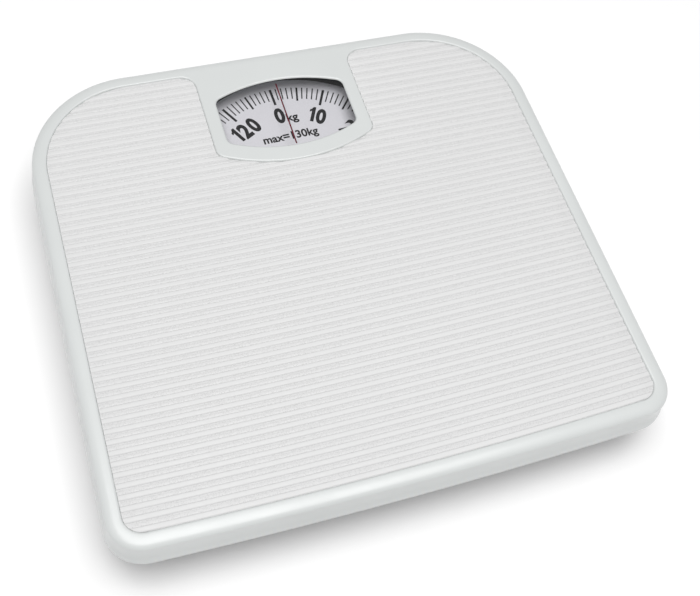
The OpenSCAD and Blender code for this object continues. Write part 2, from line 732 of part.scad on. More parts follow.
module rack() color("goldenrod") {
    // A tooth sits opposite the shaft, so the teeth run from whole pitches before and after it
    back = floor((dial_y - rack_front_y - 2) / tooth_pitch);
    ahead = 2;
    teeth = [for (i = [-back:ahead]) each rack_tooth(dial_y + i * tooth_pitch)];
    root_x = pitch_r + mesh_gap + dedendum;
    difference() {
        union() {
            translate([0, 0, rack_z]) linear_extrude(rack_t) polygon(concat(
                [[rack_back_x, rack_front_y], [root_x, rack_front_y]], teeth,
                [[root_x, rack_bar_y + 1.3], [rack_arm_x, rack_bar_y + 1.3],
                    [rack_arm_x, rack_rear_y], [rack_arm_x + rack_arm_w, rack_rear_y],
                    [rack_arm_x + rack_arm_w, rack_bar_y + 0.4], [rack_back_x, rack_bar_y + 0.4]]));
            translate([rack_arm_x, rack_pin_y - 2, rack_z - 0.6]) cube([2, 4, rack_t + 1.2]);
        }
        translate([hook_x, rack_front_y + 1.6, rack_z - 1]) cylinder(r = 0.9, h = 4);
        cross_pin(rack_arm_x, rack_pin_y, rack_pin_z, link_pin_r + eps, 8);
    }
}

module rack_pin() color("gray") {
    pin_from = crank_x - 0.8;
    cross_pin((pin_from + rack_arm_x + 2) / 2, rack_pin_y, rack_pin_z, link_pin_r,
        rack_arm_x + 2 - pin_from);
}

// Light spring that keeps the rack against the crank, from the bridge's tab to the rack's end
module rack_spring() color("darkgray")
    translate([hook_x, 0, rack_pin_z]) rotate([-90, 0, 0]) rotate([0, 0, -90])
        wire(eye_spring(hook_eye_r, hook_eye_r, plate_t / 2 - hook_eye_r,
            rack_front_y + 0.35 + hook_eye_r, 18, 10), hook_wire_r, [0, 1, 0], 6);

// Ten straight-flanked teeth round the shaft
module pinion() color("goldenrod") {
    root_r = pitch_r - dedendum;
    tip_r = pitch_r + addendum;
    half = tooth_pitch / 4 - 0.06;
    translate([0, dial_y, pinion_z]) difference() {
        union() {
            cylinder(r = root_r, h = pinion_h);
            for (i = [0:pinion_teeth - 1]) rotate([0, 0, (i + 0.5) * 360 / pinion_teeth])
                linear_extrude(pinion_h) polygon([[root_r - 0.15, -half - 0.12], [pitch_r, -half],
                    [tip_r, -half * 0.42], [tip_r, half * 0.42], [pitch_r, half],
                    [root_r - 0.15, half + 0.12]]);
        }
        translate([0, 0, -1]) cylinder(r = shaft_r + eps, h = pinion_h + 2);
    }
}

module dial_shaft() color("silver") {
    translate([0, dial_y, bridge_z - 1.6]) cylinder(r = shaft_r, h = dial_z + 0.8 - bridge_z + 1.6);
}

module shaft_clip() color("gray") translate([0, dial_y, bridge_z - 0.9]) difference() {
    cylinder(r = 3, h = 0.6);
    translate([0, 0, -1]) cylinder(r = shaft_r + eps, h = 3);
    translate([-0.8, -4, -1]) cube([1.6, 4, 3]);
}

module dial_hub() color("goldenrod") translate([0, dial_y, 0]) difference() {
    union() {
        translate([0, 0, hub_z]) cylinder(r = hub_flange_r, h = dial_z - disc_t - hub_z);
        translate([0, 0, hub_z]) cylinder(r = hub_r, h = dial_z - hub_z);
        translate([0, 0, dial_z]) cylinder(r = 4.2, h = 0.8);
    }
    translate([0, 0, hub_z - 1]) cylinder(r = shaft_r + eps, h = 6);
}

module dial_disc() color("white") translate([0, dial_y, dial_z - disc_t]) difference() {
    cylinder(r = dial_r, h = disc_t, $fn = 128);
    translate([0, 0, -1]) cylinder(r = hub_r + eps, h = 3);
}

base_tray();
feet();
fulcrum_bracket_front_left();
fulcrum_bracket_front_right();
fulcrum_bracket_rear_left();
fulcrum_bracket_rear_right();
spring_bracket();
dial_bridge();
bearing_plate();
rack_guide();
bearing_screws();
crank_bracket();
crank_pivot_pin();
frame_rivets();
platform_cover();
platform_mat();
window_lens();
index_hairline();
lens_clips();
load_post_front_left();
load_post_front_right();
load_post_rear_left();
load_post_rear_right();
cover_spring_tabs();
platform_springs();
long_lever_left();
long_lever_right();
long_lever_left_pins();
long_lever_right_pins();
lever_saddle_left();
lever_saddle_right();
short_lever_left();
short_lever_right();
short_lever_left_pins();
short_lever_right_pins();
calibration_plate();
calibration_pin();
spring_plug();
main_spring();
anchor_nut();
zero_screw();
zero_wheel();
bell_crank();
rack();
rack_pin();
rack_spring();
pinion();
dial_shaft();
shaft_clip();
dial_hub();
dial_disc();
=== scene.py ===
"""Mechanical dial platform scale: the looks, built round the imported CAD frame.

Lengths in this script are millimetres, turned into Blender's metres where a mesh is made.
"""
import math

import bmesh
import bpy
from mathutils import Matrix, Vector
from mathutils.geometry import delaunay_2d_cdt


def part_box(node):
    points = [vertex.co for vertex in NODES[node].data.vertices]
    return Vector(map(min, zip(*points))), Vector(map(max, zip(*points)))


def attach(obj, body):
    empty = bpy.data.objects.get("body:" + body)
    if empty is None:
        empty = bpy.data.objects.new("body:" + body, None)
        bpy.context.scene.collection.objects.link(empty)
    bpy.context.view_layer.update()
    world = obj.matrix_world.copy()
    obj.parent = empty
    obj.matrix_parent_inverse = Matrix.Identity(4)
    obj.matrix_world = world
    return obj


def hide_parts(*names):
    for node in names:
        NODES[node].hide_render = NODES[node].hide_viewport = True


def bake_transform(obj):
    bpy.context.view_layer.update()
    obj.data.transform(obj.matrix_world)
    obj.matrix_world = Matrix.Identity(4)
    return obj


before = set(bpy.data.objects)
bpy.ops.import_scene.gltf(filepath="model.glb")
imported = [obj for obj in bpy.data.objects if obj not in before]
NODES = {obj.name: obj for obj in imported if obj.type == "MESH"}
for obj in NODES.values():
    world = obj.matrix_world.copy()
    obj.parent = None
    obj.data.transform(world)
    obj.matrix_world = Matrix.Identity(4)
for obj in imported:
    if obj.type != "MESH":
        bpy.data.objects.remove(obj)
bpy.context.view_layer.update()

MM = 0.001


def box_mm(node):
    """Lowest and highest corners of a CAD node, in millimetres."""
    return [Vector(corner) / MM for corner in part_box(node)]


# ---------------------------------------------------------------- sizes taken from the frame
COVER_LOW, COVER_HIGH = box_mm("platform_cover")
TRAY_LOW, TRAY_HIGH = box_mm("base_tray")
WHEEL_LOW, WHEEL_HIGH = box_mm("zero_wheel")
DISC_LOW, DISC_HIGH = box_mm("dial_disc")
SIDE_X = COVER_HIGH.x
REAR_Y = COVER_HIGH.y
RIM_Z = COVER_HIGH.z
SKIRT_Z = COVER_LOW.z
DIAL_Y = (DISC_LOW.y + DISC_HIGH.y) / 2
DIAL_Z = DISC_HIGH.z

# Shape of the cover and the mat, as in the CAD source except where a line says otherwise
SHEET = 0.8
BORDER = 9.2
REAR_CORNER_R = 56
FRONT_CORNER_R = 18
FRONT_BOW = 2.2
BEND_W = 5
BEND_H = 2.2
FLARE = 1.8
MAT_T = 1.5
RECESS_Z = RIM_Z - MAT_T
RIB_PITCH = 5.155
RIB_H = 0.6
MAT_GAP = 0.04           # between the mat and the walls of its recess
MAT_SUNK = 0.35          # how far the mat lies below its place in the CAD

REAR_CX = SIDE_X - REAR_CORNER_R
REAR_CY = REAR_Y - REAR_CORNER_R
FRONT_CX = SIDE_X - FRONT_CORNER_R
BOW_R = (FRONT_CX ** 2 + FRONT_BOW ** 2) / (2 * FRONT_BOW)
BOW_CY = BOW_R - REAR_Y
BOW_ANGLE = math.degrees(math.asin(FRONT_CX / (BOW_R - FRONT_CORNER_R)))
FRONT_CY = BOW_CY - (BOW_R - FRONT_CORNER_R) * math.cos(math.radians(BOW_ANGLE))

WINDOW_HALF_W = 35
WINDOW_NEAR_Y = 63.3
WINDOW_NEAR_R = 78
WINDOW_FAR_Y = 107.2     # 0.5 further back than in the CAD
WINDOW_FAR_R = 84
WINDOW_CORNER_R = 4.5
ISLAND_HALF_W = 42.5
ISLAND_NEAR_Y = 53.7
ISLAND_NEAR_R = 88
ISLAND_CORNER_R = 6
ISLAND_FLARE_R = 8
FLARE_CX = ISLAND_HALF_W + ISLAND_FLARE_R
FLARE_CY = REAR_Y - BORDER - ISLAND_FLARE_R

HOLD_SPRING_X = 110      # the hold-down springs, to the left and right of the middle


# ---------------------------------------------------------------- plan curves
def arc(cx, cy, r, a0, a1, n):
    """n + 1 points along an arc, angles in degrees."""
    angles = [math.radians(a0 + (a1 - a0) * i / n) for i in range(n + 1)]
    return [(cx + r * math.cos(a), cy + r * math.sin(a)) for a in angles]


def plan_outline(inset, rear_stops=()):
    """The scale's outline moved in by inset, anticlockwise, with optional points on the rear edge."""
    points = arc(FRONT_CX, FRONT_CY, FRONT_CORNER_R - inset, BOW_ANGLE - 90, 0, 16)
    points += arc(REAR_CX, REAR_CY, REAR_CORNER_R - inset, 0, 90, 32)
    points += [(x, REAR_Y - inset) for x in rear_stops]
    points += arc(-REAR_CX, REAR_CY, REAR_CORNER_R - inset, 90, 180, 32)
    points += arc(-FRONT_CX, FRONT_CY, FRONT_CORNER_R - inset, 180, 270 - BOW_ANGLE, 16)
    points += arc(0, BOW_CY, BOW_R - inset, 270 - BOW_ANGLE, 270 + BOW_ANGLE, 24)[1:-1]
    return points


def barrel_end(half_w, y_mid, r, corner_r, turn):
    """Half of a barrel outline from -X to +X, bulging to -Y when turn is 1 and to +Y when it is -1."""
    reach = r - corner_r
    cx = half_w - corner_r
    a = math.degrees(math.asin(cx / reach))
    cy = y_mid + turn * (r - reach * math.cos(math.radians(a)))
    corner = arc(0, 0, corner_r, 180, 270 - a, 8)
    middle = arc(0, 0, r, 270 - a, 270 + a, 28)
    left = [(x - cx, cy + turn * y) for x, y in corner]
    middle = [(x, y_mid + turn * (y + r)) for x, y in middle]
    right = [(-x, y) for x, y in reversed(left)]
    return left + middle[1:-1] + right


def window_loop(grow):
    """The window's outline, grown by a margin, anticlockwise."""
    near = barrel_end(WINDOW_HALF_W + grow, WINDOW_NEAR_Y - grow, WINDOW_NEAR_R + grow,
                      WINDOW_CORNER_R + grow, 1)
    far = barrel_end(WINDOW_HALF_W + grow, WINDOW_FAR_Y + grow, WINDOW_FAR_R + grow,
                     WINDOW_CORNER_R + grow, -1)
    return near + far[::-1]


def mat_loop(grow):
    """The mat's outline, which runs round the raised frame of the window, grown by a margin."""
    inset = BORDER - grow
    near = barrel_end(ISLAND_HALF_W - grow, ISLAND_NEAR_Y + grow, ISLAND_NEAR_R - grow,
                      ISLAND_CORNER_R - grow, 1)
    points = arc(FRONT_CX, FRONT_CY, FRONT_CORNER_R - inset, BOW_ANGLE - 90, 0, 12)
    points += arc(REAR_CX, REAR_CY, REAR_CORNER_R - inset, 0, 90, 32)
    points += arc(FLARE_CX, FLARE_CY, ISLAND_FLARE_R + grow, 90, 180, 10)
    points += near[::-1]
    points += arc(-FLARE_CX, FLARE_CY, ISLAND_FLARE_R + grow, 0, 90, 10)
    points += arc(-REAR_CX, REAR_CY, REAR_CORNER_R - inset, 90, 180, 32)
    points += arc(-FRONT_CX, FRONT_CY, FRONT_CORNER_R - inset, 180, 270 - BOW_ANGLE, 12)
    points += arc(0, BOW_CY, BOW_R - inset, 270 - BOW_ANGLE, 270 + BOW_ANGLE, 24)[1:-1]
    return points


def stadium(cx, half_w, y0, y1):
    """A slot with round ends along Y."""
    return (arc(cx, y0 + half_w, half_w, 180, 360, 10)
            + arc(cx, y1 - half_w, half_w, 0, 180, 10))


# ---------------------------------------------------------------- mesh helpers
def within(outlines, p):
    """True when a line from p along +X crosses the closed outlines an odd number of times."""
    crossings = 0
    for outline in outlines:
        for (x0, y0), (x1, y1) in zip(outline, outline[1:] + outline[:1]):
            if (y0 > p.y) != (y1 > p.y) and p.x < x0 + (x1 - x0) * (p.y - y0) / (y1 - y0):
                crossings += 1
    return crossings % 2 == 1


class Shell:
    """Collects rings of points in millimetres and the faces between them."""

    def __init__(self):
        self.points = []
        self.faces = []

    def ring(self, plan, z):
        """Adds one closed ring at height z and returns its point numbers."""
        start = len(self.points)
        self.points += [(x, y, z) for x, y in plan]
        return list(range(start, len(self.points)))

    def skin(self, a, b, skip=()):
        """Quads between two rings, leaving out the steps listed in skip."""
        count = len(a)
        for i in range(count):
            if i in skip:
                continue
            j = (i + 1) % count
            self.faces.append((a[i], a[j], b[j], b[i]))

    def skins(self, rings):
        """Quads between each ring and the next."""
        for a, b in zip(rings, rings[1:]):
            self.skin(a, b)

    def plate(self, loops, up):
        """A flat face with holes, bounded by closed rings, as triangles that face up or down."""
        ids = [i for loop in loops for i in loop]
        flat = [Vector(self.points[i][:2]) for i in ids]
        edges = []
        start = 0
        for loop in loops:
            count = len(loop)
            edges += [(start + i, start + (i + 1) % count) for i in range(count)]
            start += count
        result = delaunay_2d_cdt(flat, edges, [], 1, 1e-9)
        source = [ids[orig[0]] for orig in result[3]]
        outlines = [[self.points[i][:2] for i in loop] for loop in loops]
        for face in result[2]:
            corners = [source[i] for i in face]
            p, q, r = (Vector(self.points[i][:2]) for i in corners[:3])
            if not within(outlines, (p + q + r) / 3):
                continue
            turned = (q - p).cross(r - p) > 0
            self.faces.append(tuple(corners if turned == up else reversed(corners)))

    def build(self, name, sharp=40):
        return mesh_object(name, self.points, self.faces, sharp)


def finish_shading(mesh, sharp):
    """Smooth shading, with edges kept sharp above an angle in degrees."""
    for polygon in mesh.polygons:
        polygon.use_smooth = True
    mesh.set_sharp_from_angle(angle=math.radians(sharp))


def mesh_object(name, points, faces, sharp=40):
    """A mesh object from points in millimetres, with its normals turned outwards."""
    mesh = bpy.data.meshes.new(name)
    mesh.from_pydata([Vector(p) * MM for p in points], [], faces)
    bm = bmesh.new()
    bm.from_mesh(mesh)
    bmesh.ops.remove_doubles(bm, verts=bm.verts, dist=1e-7)
    bmesh.ops.dissolve_degenerate(bm, edges=bm.edges, dist=1e-8)
    bmesh.ops.recalc_face_normals(bm, faces=bm.faces)
    bm.to_mesh(mesh)
    bm.free()
    finish_shading(mesh, sharp)
    obj = bpy.data.objects.new(name, mesh)
    bpy.context.scene.collection.objects.link(obj)
    return obj


def weigh_normals(obj):
    """Keeps large flat faces flat in smooth shading."""
    weighted = obj.modifiers.new("weighted", "WEIGHTED_NORMAL")
    weighted.keep_sharp = True


def place(obj, body, slot_name, material, *nodes):
    """Rides a piece on a body, hides the CAD nodes it replaces and gives it its finish."""
    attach(obj, body)
    if nodes:
        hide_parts(*nodes)
    dress(obj, material)


def dress(obj, material):
    """Gives an object its material."""
    obj.data.materials.clear()
    obj.data.materials.append(material)


def revolved(profile, steps, cx=0, cy=0):
    """Points and faces of a closed profile of (radius, z) turned round a vertical axis."""
    points = []
    faces = []
    count = len(profile)
    for i in range(steps):
        a = 2 * math.pi * i / steps
        points += [(cx + r * math.cos(a), cy + r * math.sin(a), z) for r, z in profile]
    for i in range(steps):
        j = (i + 1) % steps
        for k in range(count - 1):
            faces.append((i * count + k, j * count + k, j * count + k + 1, i * count + k + 1))
    return points, faces


def joined(parts):
    """One list of points and faces from several."""
    points = []
    faces = []
    for part_points, part_faces in parts:
        start = len(points)
        points += part_points
        faces += [tuple(start + i for i in face) for face in part_faces]
    return points, faces


def tube(path, radius, normal, sides=12):
    """A round tube along points, with its frame carried from point to point, closed at both ends."""
    path = [Vector(p) for p in path]
    last = len(path) - 1
    n = Vector(normal)
    points = []
    faces = []
    for i, p in enumerate(path):
        t = (path[min(i + 1, last)] - path[max(i - 1, 0)]).normalized()
        n = (n - t * n.dot(t)).normalized()
        b = t.cross(n)
        for k in range(sides):
            a = 2 * math.pi * k / sides
            points.append(p + radius * (math.cos(a) * n + math.sin(a) * b))
    for i in range(last):
        for k in range(sides):
            m = (k + 1) % sides
            faces.append((i * sides + k, i * sides + m, (i + 1) * sides + m, (i + 1) * sides + k))
    faces.append(tuple(range(sides)))
    faces.append(tuple(last * sides + k for k in range(sides)))
    return points, faces


# ---------------------------------------------------------------- material helpers
class Nodes:
    """Short calls to make one procedural material."""

    def __init__(self, name, colour, roughness, metallic=0.0):
        self.material = bpy.data.materials.new(name)
        self.material.use_nodes = True
        self.tree = self.material.node_tree
        self.shader = self.tree.nodes["Principled BSDF"]
        self.shader.inputs["Base Color"].default_value = (*colour, 1)
        self.shader.inputs["Roughness"].default_value = roughness
        self.shader.inputs["Metallic"].default_value = metallic
        self.coords = self.add("ShaderNodeTexCoord").outputs["Object"]

    def add(self, kind):
        return self.tree.nodes.new(kind)

    def link(self, a, b):
        self.tree.links.new(a, b)

    def stretched(self, scale):
        """Object coordinates, scaled along each axis by its own factor."""
        mapping = self.add("ShaderNodeMapping")
        mapping.inputs["Scale"].default_value = scale
        self.link(self.coords, mapping.inputs["Vector"])
        return mapping.outputs["Vector"]

    def noise(self, scale, detail=3.0, rough=0.5, vector=None):
        """Noise, with scale in features per metre."""
        node = self.add("ShaderNodeTexNoise")
        node.inputs["Scale"].default_value = scale
        node.inputs["Detail"].default_value = detail
        node.inputs["Roughness"].default_value = rough
        self.link(vector or self.coords, node.inputs["Vector"])
        return node.outputs["Fac"]

    def dots(self, scale):
        """Distance from the nearest of many scattered points."""
        node = self.add("ShaderNodeTexVoronoi")
        node.inputs["Scale"].default_value = scale
        self.link(self.coords, node.inputs["Vector"])
        return node.outputs["Distance"]

    def ranged(self, source, low, high, start=0.3, end=0.7):
        """A socket's values from start to end, turned into values from low to high."""
        node = self.add("ShaderNodeMapRange")
        node.inputs["From Min"].default_value = start
        node.inputs["From Max"].default_value = end
        node.inputs["To Min"].default_value = low
        node.inputs["To Max"].default_value = high
        self.link(source, node.inputs["Value"])
        return node.outputs["Result"]

    def mixed(self, factor, first, second):
        """Mixes two colours, or two colour sockets, by a factor socket."""
        node = self.add("ShaderNodeMix")
        node.data_type = "RGBA"
        self.link(factor, node.inputs[0])
        for socket, value in ((node.inputs[6], first), (node.inputs[7], second)):
            if isinstance(value, tuple):
                socket.default_value = (*value, 1)
            else:
                self.link(value, socket)
        return node.outputs[2]

    def times(self, first, second):
        """The product of two sockets."""
        node = self.add("ShaderNodeMath")
        node.operation = "MULTIPLY"
        self.link(first, node.inputs[0])
        self.link(second, node.inputs[1])
        return node.outputs[0]

    def paint(self, socket):
        self.link(socket, self.shader.inputs["Base Color"])

    def roughen(self, socket):
        self.link(socket, self.shader.inputs["Roughness"])

    def bumps(self, *layers):
        """Stacks bump layers of (height socket, depth in metres)."""
        normal = None
        for height, depth in layers:
            node = self.add("ShaderNodeBump")
            node.inputs["Strength"].default_value = 1.0
            node.inputs["Distance"].default_value = depth
            self.link(height, node.inputs["Height"])
            if normal:
                self.link(normal, node.inputs["Normal"])
            normal = node.outputs["Normal"]
        self.link(normal, self.shader.inputs["Normal"])

    def edges(self):
        """1 on worn convex edges, 0 elsewhere."""
        worn_from = 0.52
        worn_fully = 0.57
        geometry = self.add("ShaderNodeNewGeometry")
        return self.ranged(geometry.outputs["Pointiness"], 0.0, 1.0, worn_from, worn_fully)


def shade(colour, factor):
    """A lighter or darker version of a colour."""
    return tuple(channel * factor for channel in colour)


def enamel(name, colour, roughness, coat):
    """Stoved enamel on pressed steel: faint orange peel, uneven gloss, a trace of handling dust."""
    m = Nodes(name, colour, roughness)
    cloud = m.noise(14, 4)
    m.paint(m.mixed(m.ranged(cloud, 0.0, 1.0), shade(colour, 0.975), shade(colour, 1.015)))
    m.roughen(m.ranged(m.noise(60, 4), roughness - 0.05, roughness + 0.07))
    m.bumps((m.noise(900, 2), 0.000012), (m.noise(160, 2), 0.00002))
    m.shader.inputs["Coat Weight"].default_value = coat
    m.shader.inputs["Coat Roughness"].default_value = 0.18
    return m.material


def vinyl():
    """White vinyl mat: matt leather grain, fine stipple and painted shade in the valleys between its
    ribs.
    """
    colour = (0.775, 0.775, 0.775)
    m = Nodes("mat_vinyl", colour, 0.55)
    valley = m.add("ShaderNodeAttribute")
    valley.attribute_name = "valley"
    low = valley.outputs["Fac"]
    stipple = m.dots(1500)
    # Stipple dots, darker the deeper they lie in a valley: real stipple, with painted shade in its
    # depth.
    stipple_and_shade = m.times(m.ranged(stipple, 1.0, 0.0, 0.1, 0.5), low)
    base = m.mixed(m.ranged(m.noise(9, 4), 0.0, 1.0), shade(colour, 0.985), shade(colour, 1.015))
    # Painted shade: the colour darkens towards the bottom of each valley between the ribs.
    valley_painted_shade = m.mixed(low, base, shade(colour, 0.92))
    m.paint(m.mixed(stipple_and_shade, valley_painted_shade, shade(colour, 0.74)))
    m.roughen(m.ranged(m.noise(300, 3), 0.48, 0.62))
    m.bumps((m.noise(2200, 3), 0.00003), (stipple_and_shade, 0.00006))
    return m.material


def clear_plastic():
    """Clear acrylic window: almost invisible, with a little haze and fine scratches."""
    colour = (0.95, 0.96, 0.97)
    m = Nodes("clear_plastic", colour, 0.08)
    scratches = m.noise(400, 2, 0.5, m.stretched((0.15, 1.0, 1.0)))
    m.paint(m.mixed(m.ranged(scratches, 0.0, 1.0), shade(colour, 0.98), shade(colour, 1.02)))
    m.roughen(m.ranged(scratches, 0.05, 0.16, 0.4, 0.7))
    m.bumps((m.noise(40, 1), 0.00002))
    m.shader.inputs["Alpha"].default_value = 0.015
    m.shader.inputs["IOR"].default_value = 1.49
    return m.material


def printed(name, colour, roughness):
    """Screen-printed ink: slightly uneven coverage."""
    m = Nodes(name, colour, roughness)
    m.paint(m.mixed(m.ranged(m.noise(700, 3), 0.0, 1.0), shade(colour, 0.8), shade(colour, 1.4)))
    m.roughen(m.ranged(m.noise(500, 2), roughness - 0.06, roughness + 0.08))
    m.bumps((m.noise(1500, 2), 0.00001))
    m.shader.inputs["Specular IOR Level"].default_value = 0.12
    return m.material


def dial_face():
    """Dial disc: satin white lacquer, slightly uneven in tone and gloss."""
    colour = (0.675, 0.668, 0.705)
    m = Nodes("dial_face", colour, 0.42)
    m.paint(m.mixed(m.ranged(m.noise(22, 4), 0.0, 1.0), shade(colour, 0.97), shade(colour, 1.02)))
    m.roughen(m.ranged(m.noise(200, 3), 0.36, 0.50))
    m.bumps((m.noise(1200, 2), 0.00001))
    return m.material


def plated(name, colour, roughness, grain):
    """Plated or bare steel: mottled tone, fine grain along one way, bright worn edges."""
    m = Nodes(name, colour, roughness, 1.0)
    mottled = m.ranged(m.noise(180, 4, 0.6), 0.0, 1.0)
    body = m.mixed(mottled, shade(colour, 0.82), shade(colour, 1.08))
    m.paint(m.mixed(m.edges(), body, shade(colour, 1.25)))
    streaks = m.noise(600, 3, 0.6, m.stretched(grain))
    m.roughen(m.ranged(streaks, roughness - 0.08, roughness + 0.12))
    m.bumps((streaks, 0.00002), (m.noise(90, 3), 0.00004))
    return m.material


def moulded(name, colour, roughness, grain_depth=0.00003):
    """Moulded plastic or rubber: fine spark-eroded grain and scuffed edges."""
    m = Nodes(name, colour, roughness)
    base = m.mixed(m.ranged(m.noise(120, 4), 0.0, 1.0), shade(colour, 0.88), shade(colour, 1.12))
    m.paint(m.mixed(m.edges(), base, shade(colour, 1.5)))
    m.roughen(m.ranged(m.noise(400, 3), roughness - 0.08, roughness + 0.10))
    m.bumps((m.noise(2500, 2), grain_depth), (m.noise(250, 3), grain_depth))
    return m.material


WHITE_ENAMEL = enamel("cover_paint", (0.730, 0.752, 0.746), 0.34, 0.25)
# Near-black tray enamel: the tray's own colour, and also painted shade for the dark inside seen
# through the window.
TRAY_ENAMEL = enamel("base_paint", (0.012, 0.012, 0.013), 0.42, 0.0)
VINYL = vinyl()
CLEAR = clear_plastic()
RED_LINE = printed("hairline_red", (0.150, 0.008, 0.022), 0.40)
BLACK_INK = printed("dial_ink", (0.008, 0.008, 0.009), 0.45)
DIAL_FACE = dial_face()
ZINC = plated("zinc_steel", (0.62, 0.64, 0.67), 0.36, (1.0, 0.1, 1.0))
LEVER_STEEL = plated("lever_steel", (0.50, 0.51, 0.53), 0.42, (1.0, 0.06, 1.0))
PIN_STEEL = plated("pin_steel", (0.66, 0.66, 0.68), 0.24, (0.08, 1.0, 1.0))
SPRING_STEEL = plated("spring_steel", (0.30, 0.30, 0.32), 0.32, (1.0, 1.0, 0.3))
BRASS = plated("brass", (0.72, 0.50, 0.20), 0.30, (0.1, 1.0, 1.0))
NYLON = moulded("white_nylon", (0.70, 0.69, 0.64), 0.45)
WHEEL_PLASTIC = moulded("wheel_plastic", (0.035, 0.036, 0.040), 0.42)
RUBBER = moulded("foot_rubber", (0.045, 0.045, 0.048), 0.72, 0.00006)


# ---------------------------------------------------------------- camera, floor and light
def make_camera():
    """Camera in front and to the user's left, looking down, turned a little about its own axis."""
    eye = Vector((-120.25, -247.1, 469.8))
    focal_length = 52.9
    turn = -0.503
    rise = 1.045
    roll = 0.227
    back = Vector((math.sin(turn) * math.cos(rise), -math.cos(turn) * math.cos(rise),
                   math.sin(rise)))
    x = Vector((0, 0, 1)).cross(back).normalized()
    y = back.cross(x)
    right = math.cos(roll) * x + math.sin(roll) * y
    up = math.cos(roll) * y - math.sin(roll) * x
    data = bpy.data.cameras.new("camera")
    data.sensor_width = 36
    data.lens = focal_length
    data.clip_start = 0.01
    camera = bpy.data.objects.new("camera", data)
    facing = Matrix((right, up, back)).transposed().to_4x4()
    camera.matrix_world = Matrix.Translation(eye * MM) @ facing
    bpy.context.scene.collection.objects.link(camera)
    bpy.context.scene.camera = camera


def make_floor():
    """A plain pale floor, a shallow dish so that no edge shows from a low camera, in metres."""
    radius = 4.0
    flat_radius = 1.5
    curl = 0.12
    drop = 0.0001
    rings = 24
    steps = 64
    points = [(0, 0, -drop)]
    for i in range(1, rings + 1):
        r = radius * i / rings
        z = curl * max(0.0, r - flat_radius) ** 2 - drop
        points += [(x, y, z) for x, y in arc(0, 0, r, 0, 360, steps)[:-1]]
    faces = [(0, 1 + i, 1 + (i + 1) % steps) for i in range(steps)]
    for k in range(rings - 1):
        a = 1 + k * steps
        for i in range(steps):
            j = (i + 1) % steps
            faces.append((a + i, a + steps + i, a + steps + j, a + j))
    floor = mesh_object("floor", [Vector(p) / MM for p in points], faces)
    m = Nodes("floor_card", (0.90, 0.90, 0.90), 0.9)
    m.roughen(m.ranged(m.noise(6, 2), 0.85, 0.95))
    m.shader.inputs["Emission Color"].default_value = (1, 1, 1, 1)
    m.shader.inputs["Emission Strength"].default_value = 0.18
    m.shader.inputs["Specular IOR Level"].default_value = 0.1
    floor.data.materials.append(m.material)


def area_light(name, place_m, target_m, size_m, watts):
    """A rectangular soft light, aimed at a target."""
    data = bpy.data.lights.new(name, "AREA")
    data.shape = "RECTANGLE"
    data.size, data.size_y = size_m
    data.energy = watts
    light = bpy.data.objects.new(name, data)
    light.location = place_m
    aim = Vector(target_m) - Vector(place_m)
    light.rotation_euler = aim.to_track_quat("-Z", "Y").to_euler()
    bpy.context.scene.collection.objects.link(light)


def make_light():
    """One large softbox overhead and a weak even surround."""
    world = bpy.data.worlds.new("studio")
    world.use_nodes = True
    background = world.node_tree.nodes["Background"]
    background.inputs["Color"].default_value = (1, 1, 1, 1)
    background.inputs["Strength"].default_value = 0.16
    bpy.context.scene.world = world
    area_light("top_softbox", (-0.05, -0.16, 1.6), (0, 0, 0), (1.3, 1.1), 25)
    bpy.context.scene.view_settings.view_transform = "Standard"


make_camera()
make_floor()
make_light()


# ---------------------------------------------------------------- cover and mat
def bend_rings(shell, bend_w, bend_h, start_inset, top_z, steps):
    """Rings down a quarter ellipse from the flat rim to the skirt."""
    rings = []
    for i in range(steps + 1):
        a = math.pi / 2 * i / steps
        inset = start_inset - bend_w * math.sin(a)
        z = top_z - bend_h * (1 - math.cos(a))
        rings.append(shell.ring(plan_outline(inset), z))
    return rings


def make_cover():
    """Pressed steel cover: soft rim, kinked and flared skirt, recess for the mat and the window."""
    rim_inset = FLARE + BEND_W
    skirt = [(FLARE - 0.12, RIM_Z - 4.2), (FLARE - 0.3, SKIRT_Z + 8.6), (FLARE - 0.75, SKIRT_Z + 5.6),
             (0.55, SKIRT_Z + 4.2), (0.28, SKIRT_Z + 3.0), (0.05, SKIRT_Z + 1.2)]
    hem = [(0.0, SKIRT_Z + 0.5), (0.1, SKIRT_Z + 0.15), (0.4, SKIRT_Z), (0.7, SKIRT_Z + 0.15),
           (SHEET, SKIRT_Z + 0.5)]
    inner = [(inset + SHEET, z) for inset, z in reversed(skirt)]
    shell = Shell()
    outer = bend_rings(shell, BEND_W, BEND_H, rim_inset, RIM_Z, 10)
    outer += [shell.ring(plan_outline(inset), z) for inset, z in skirt + hem + inner]
    under = bend_rings(shell, BEND_W - SHEET, BEND_H - SHEET, rim_inset, RIM_Z - SHEET, 5)
    shell.skins(outer + under[::-1])
    edge = [(1.2, 0), (0.8, 0.05), (0.48, 0.18), (0.22, 0.42), (0.06, 0.8), (0.03, MAT_T)]
    recess = [shell.ring(mat_loop(grow), RIM_Z - drop) for grow, drop in edge]
    shell.skins(recess)
    lip = [(1.3, 0), (0.85, 0.06), (0.45, 0.22), (0.14, 0.5), (0.0, SHEET)]
    window = [shell.ring(window_loop(grow), RIM_Z - drop) for grow, drop in lip]
    shell.skins(window)
    shell.plate([outer[0], recess[0], window[0]], True)
    shell.plate([recess[-1]], True)
    deck_top = shell.ring(mat_loop(SHEET + 0.1), RIM_Z - SHEET)
    deck_low = shell.ring(mat_loop(SHEET + 0.1), RECESS_Z - SHEET)
    shell.skin(deck_top, deck_low)
    shell.plate([deck_low], False)
    shell.plate([under[0], deck_top, window[-1]], False)
    cover = shell.build("cover_skin", 50)
    weigh_normals(cover)
    place(cover, "platform", "cover_paint", WHITE_ENAMEL, "platform_cover")


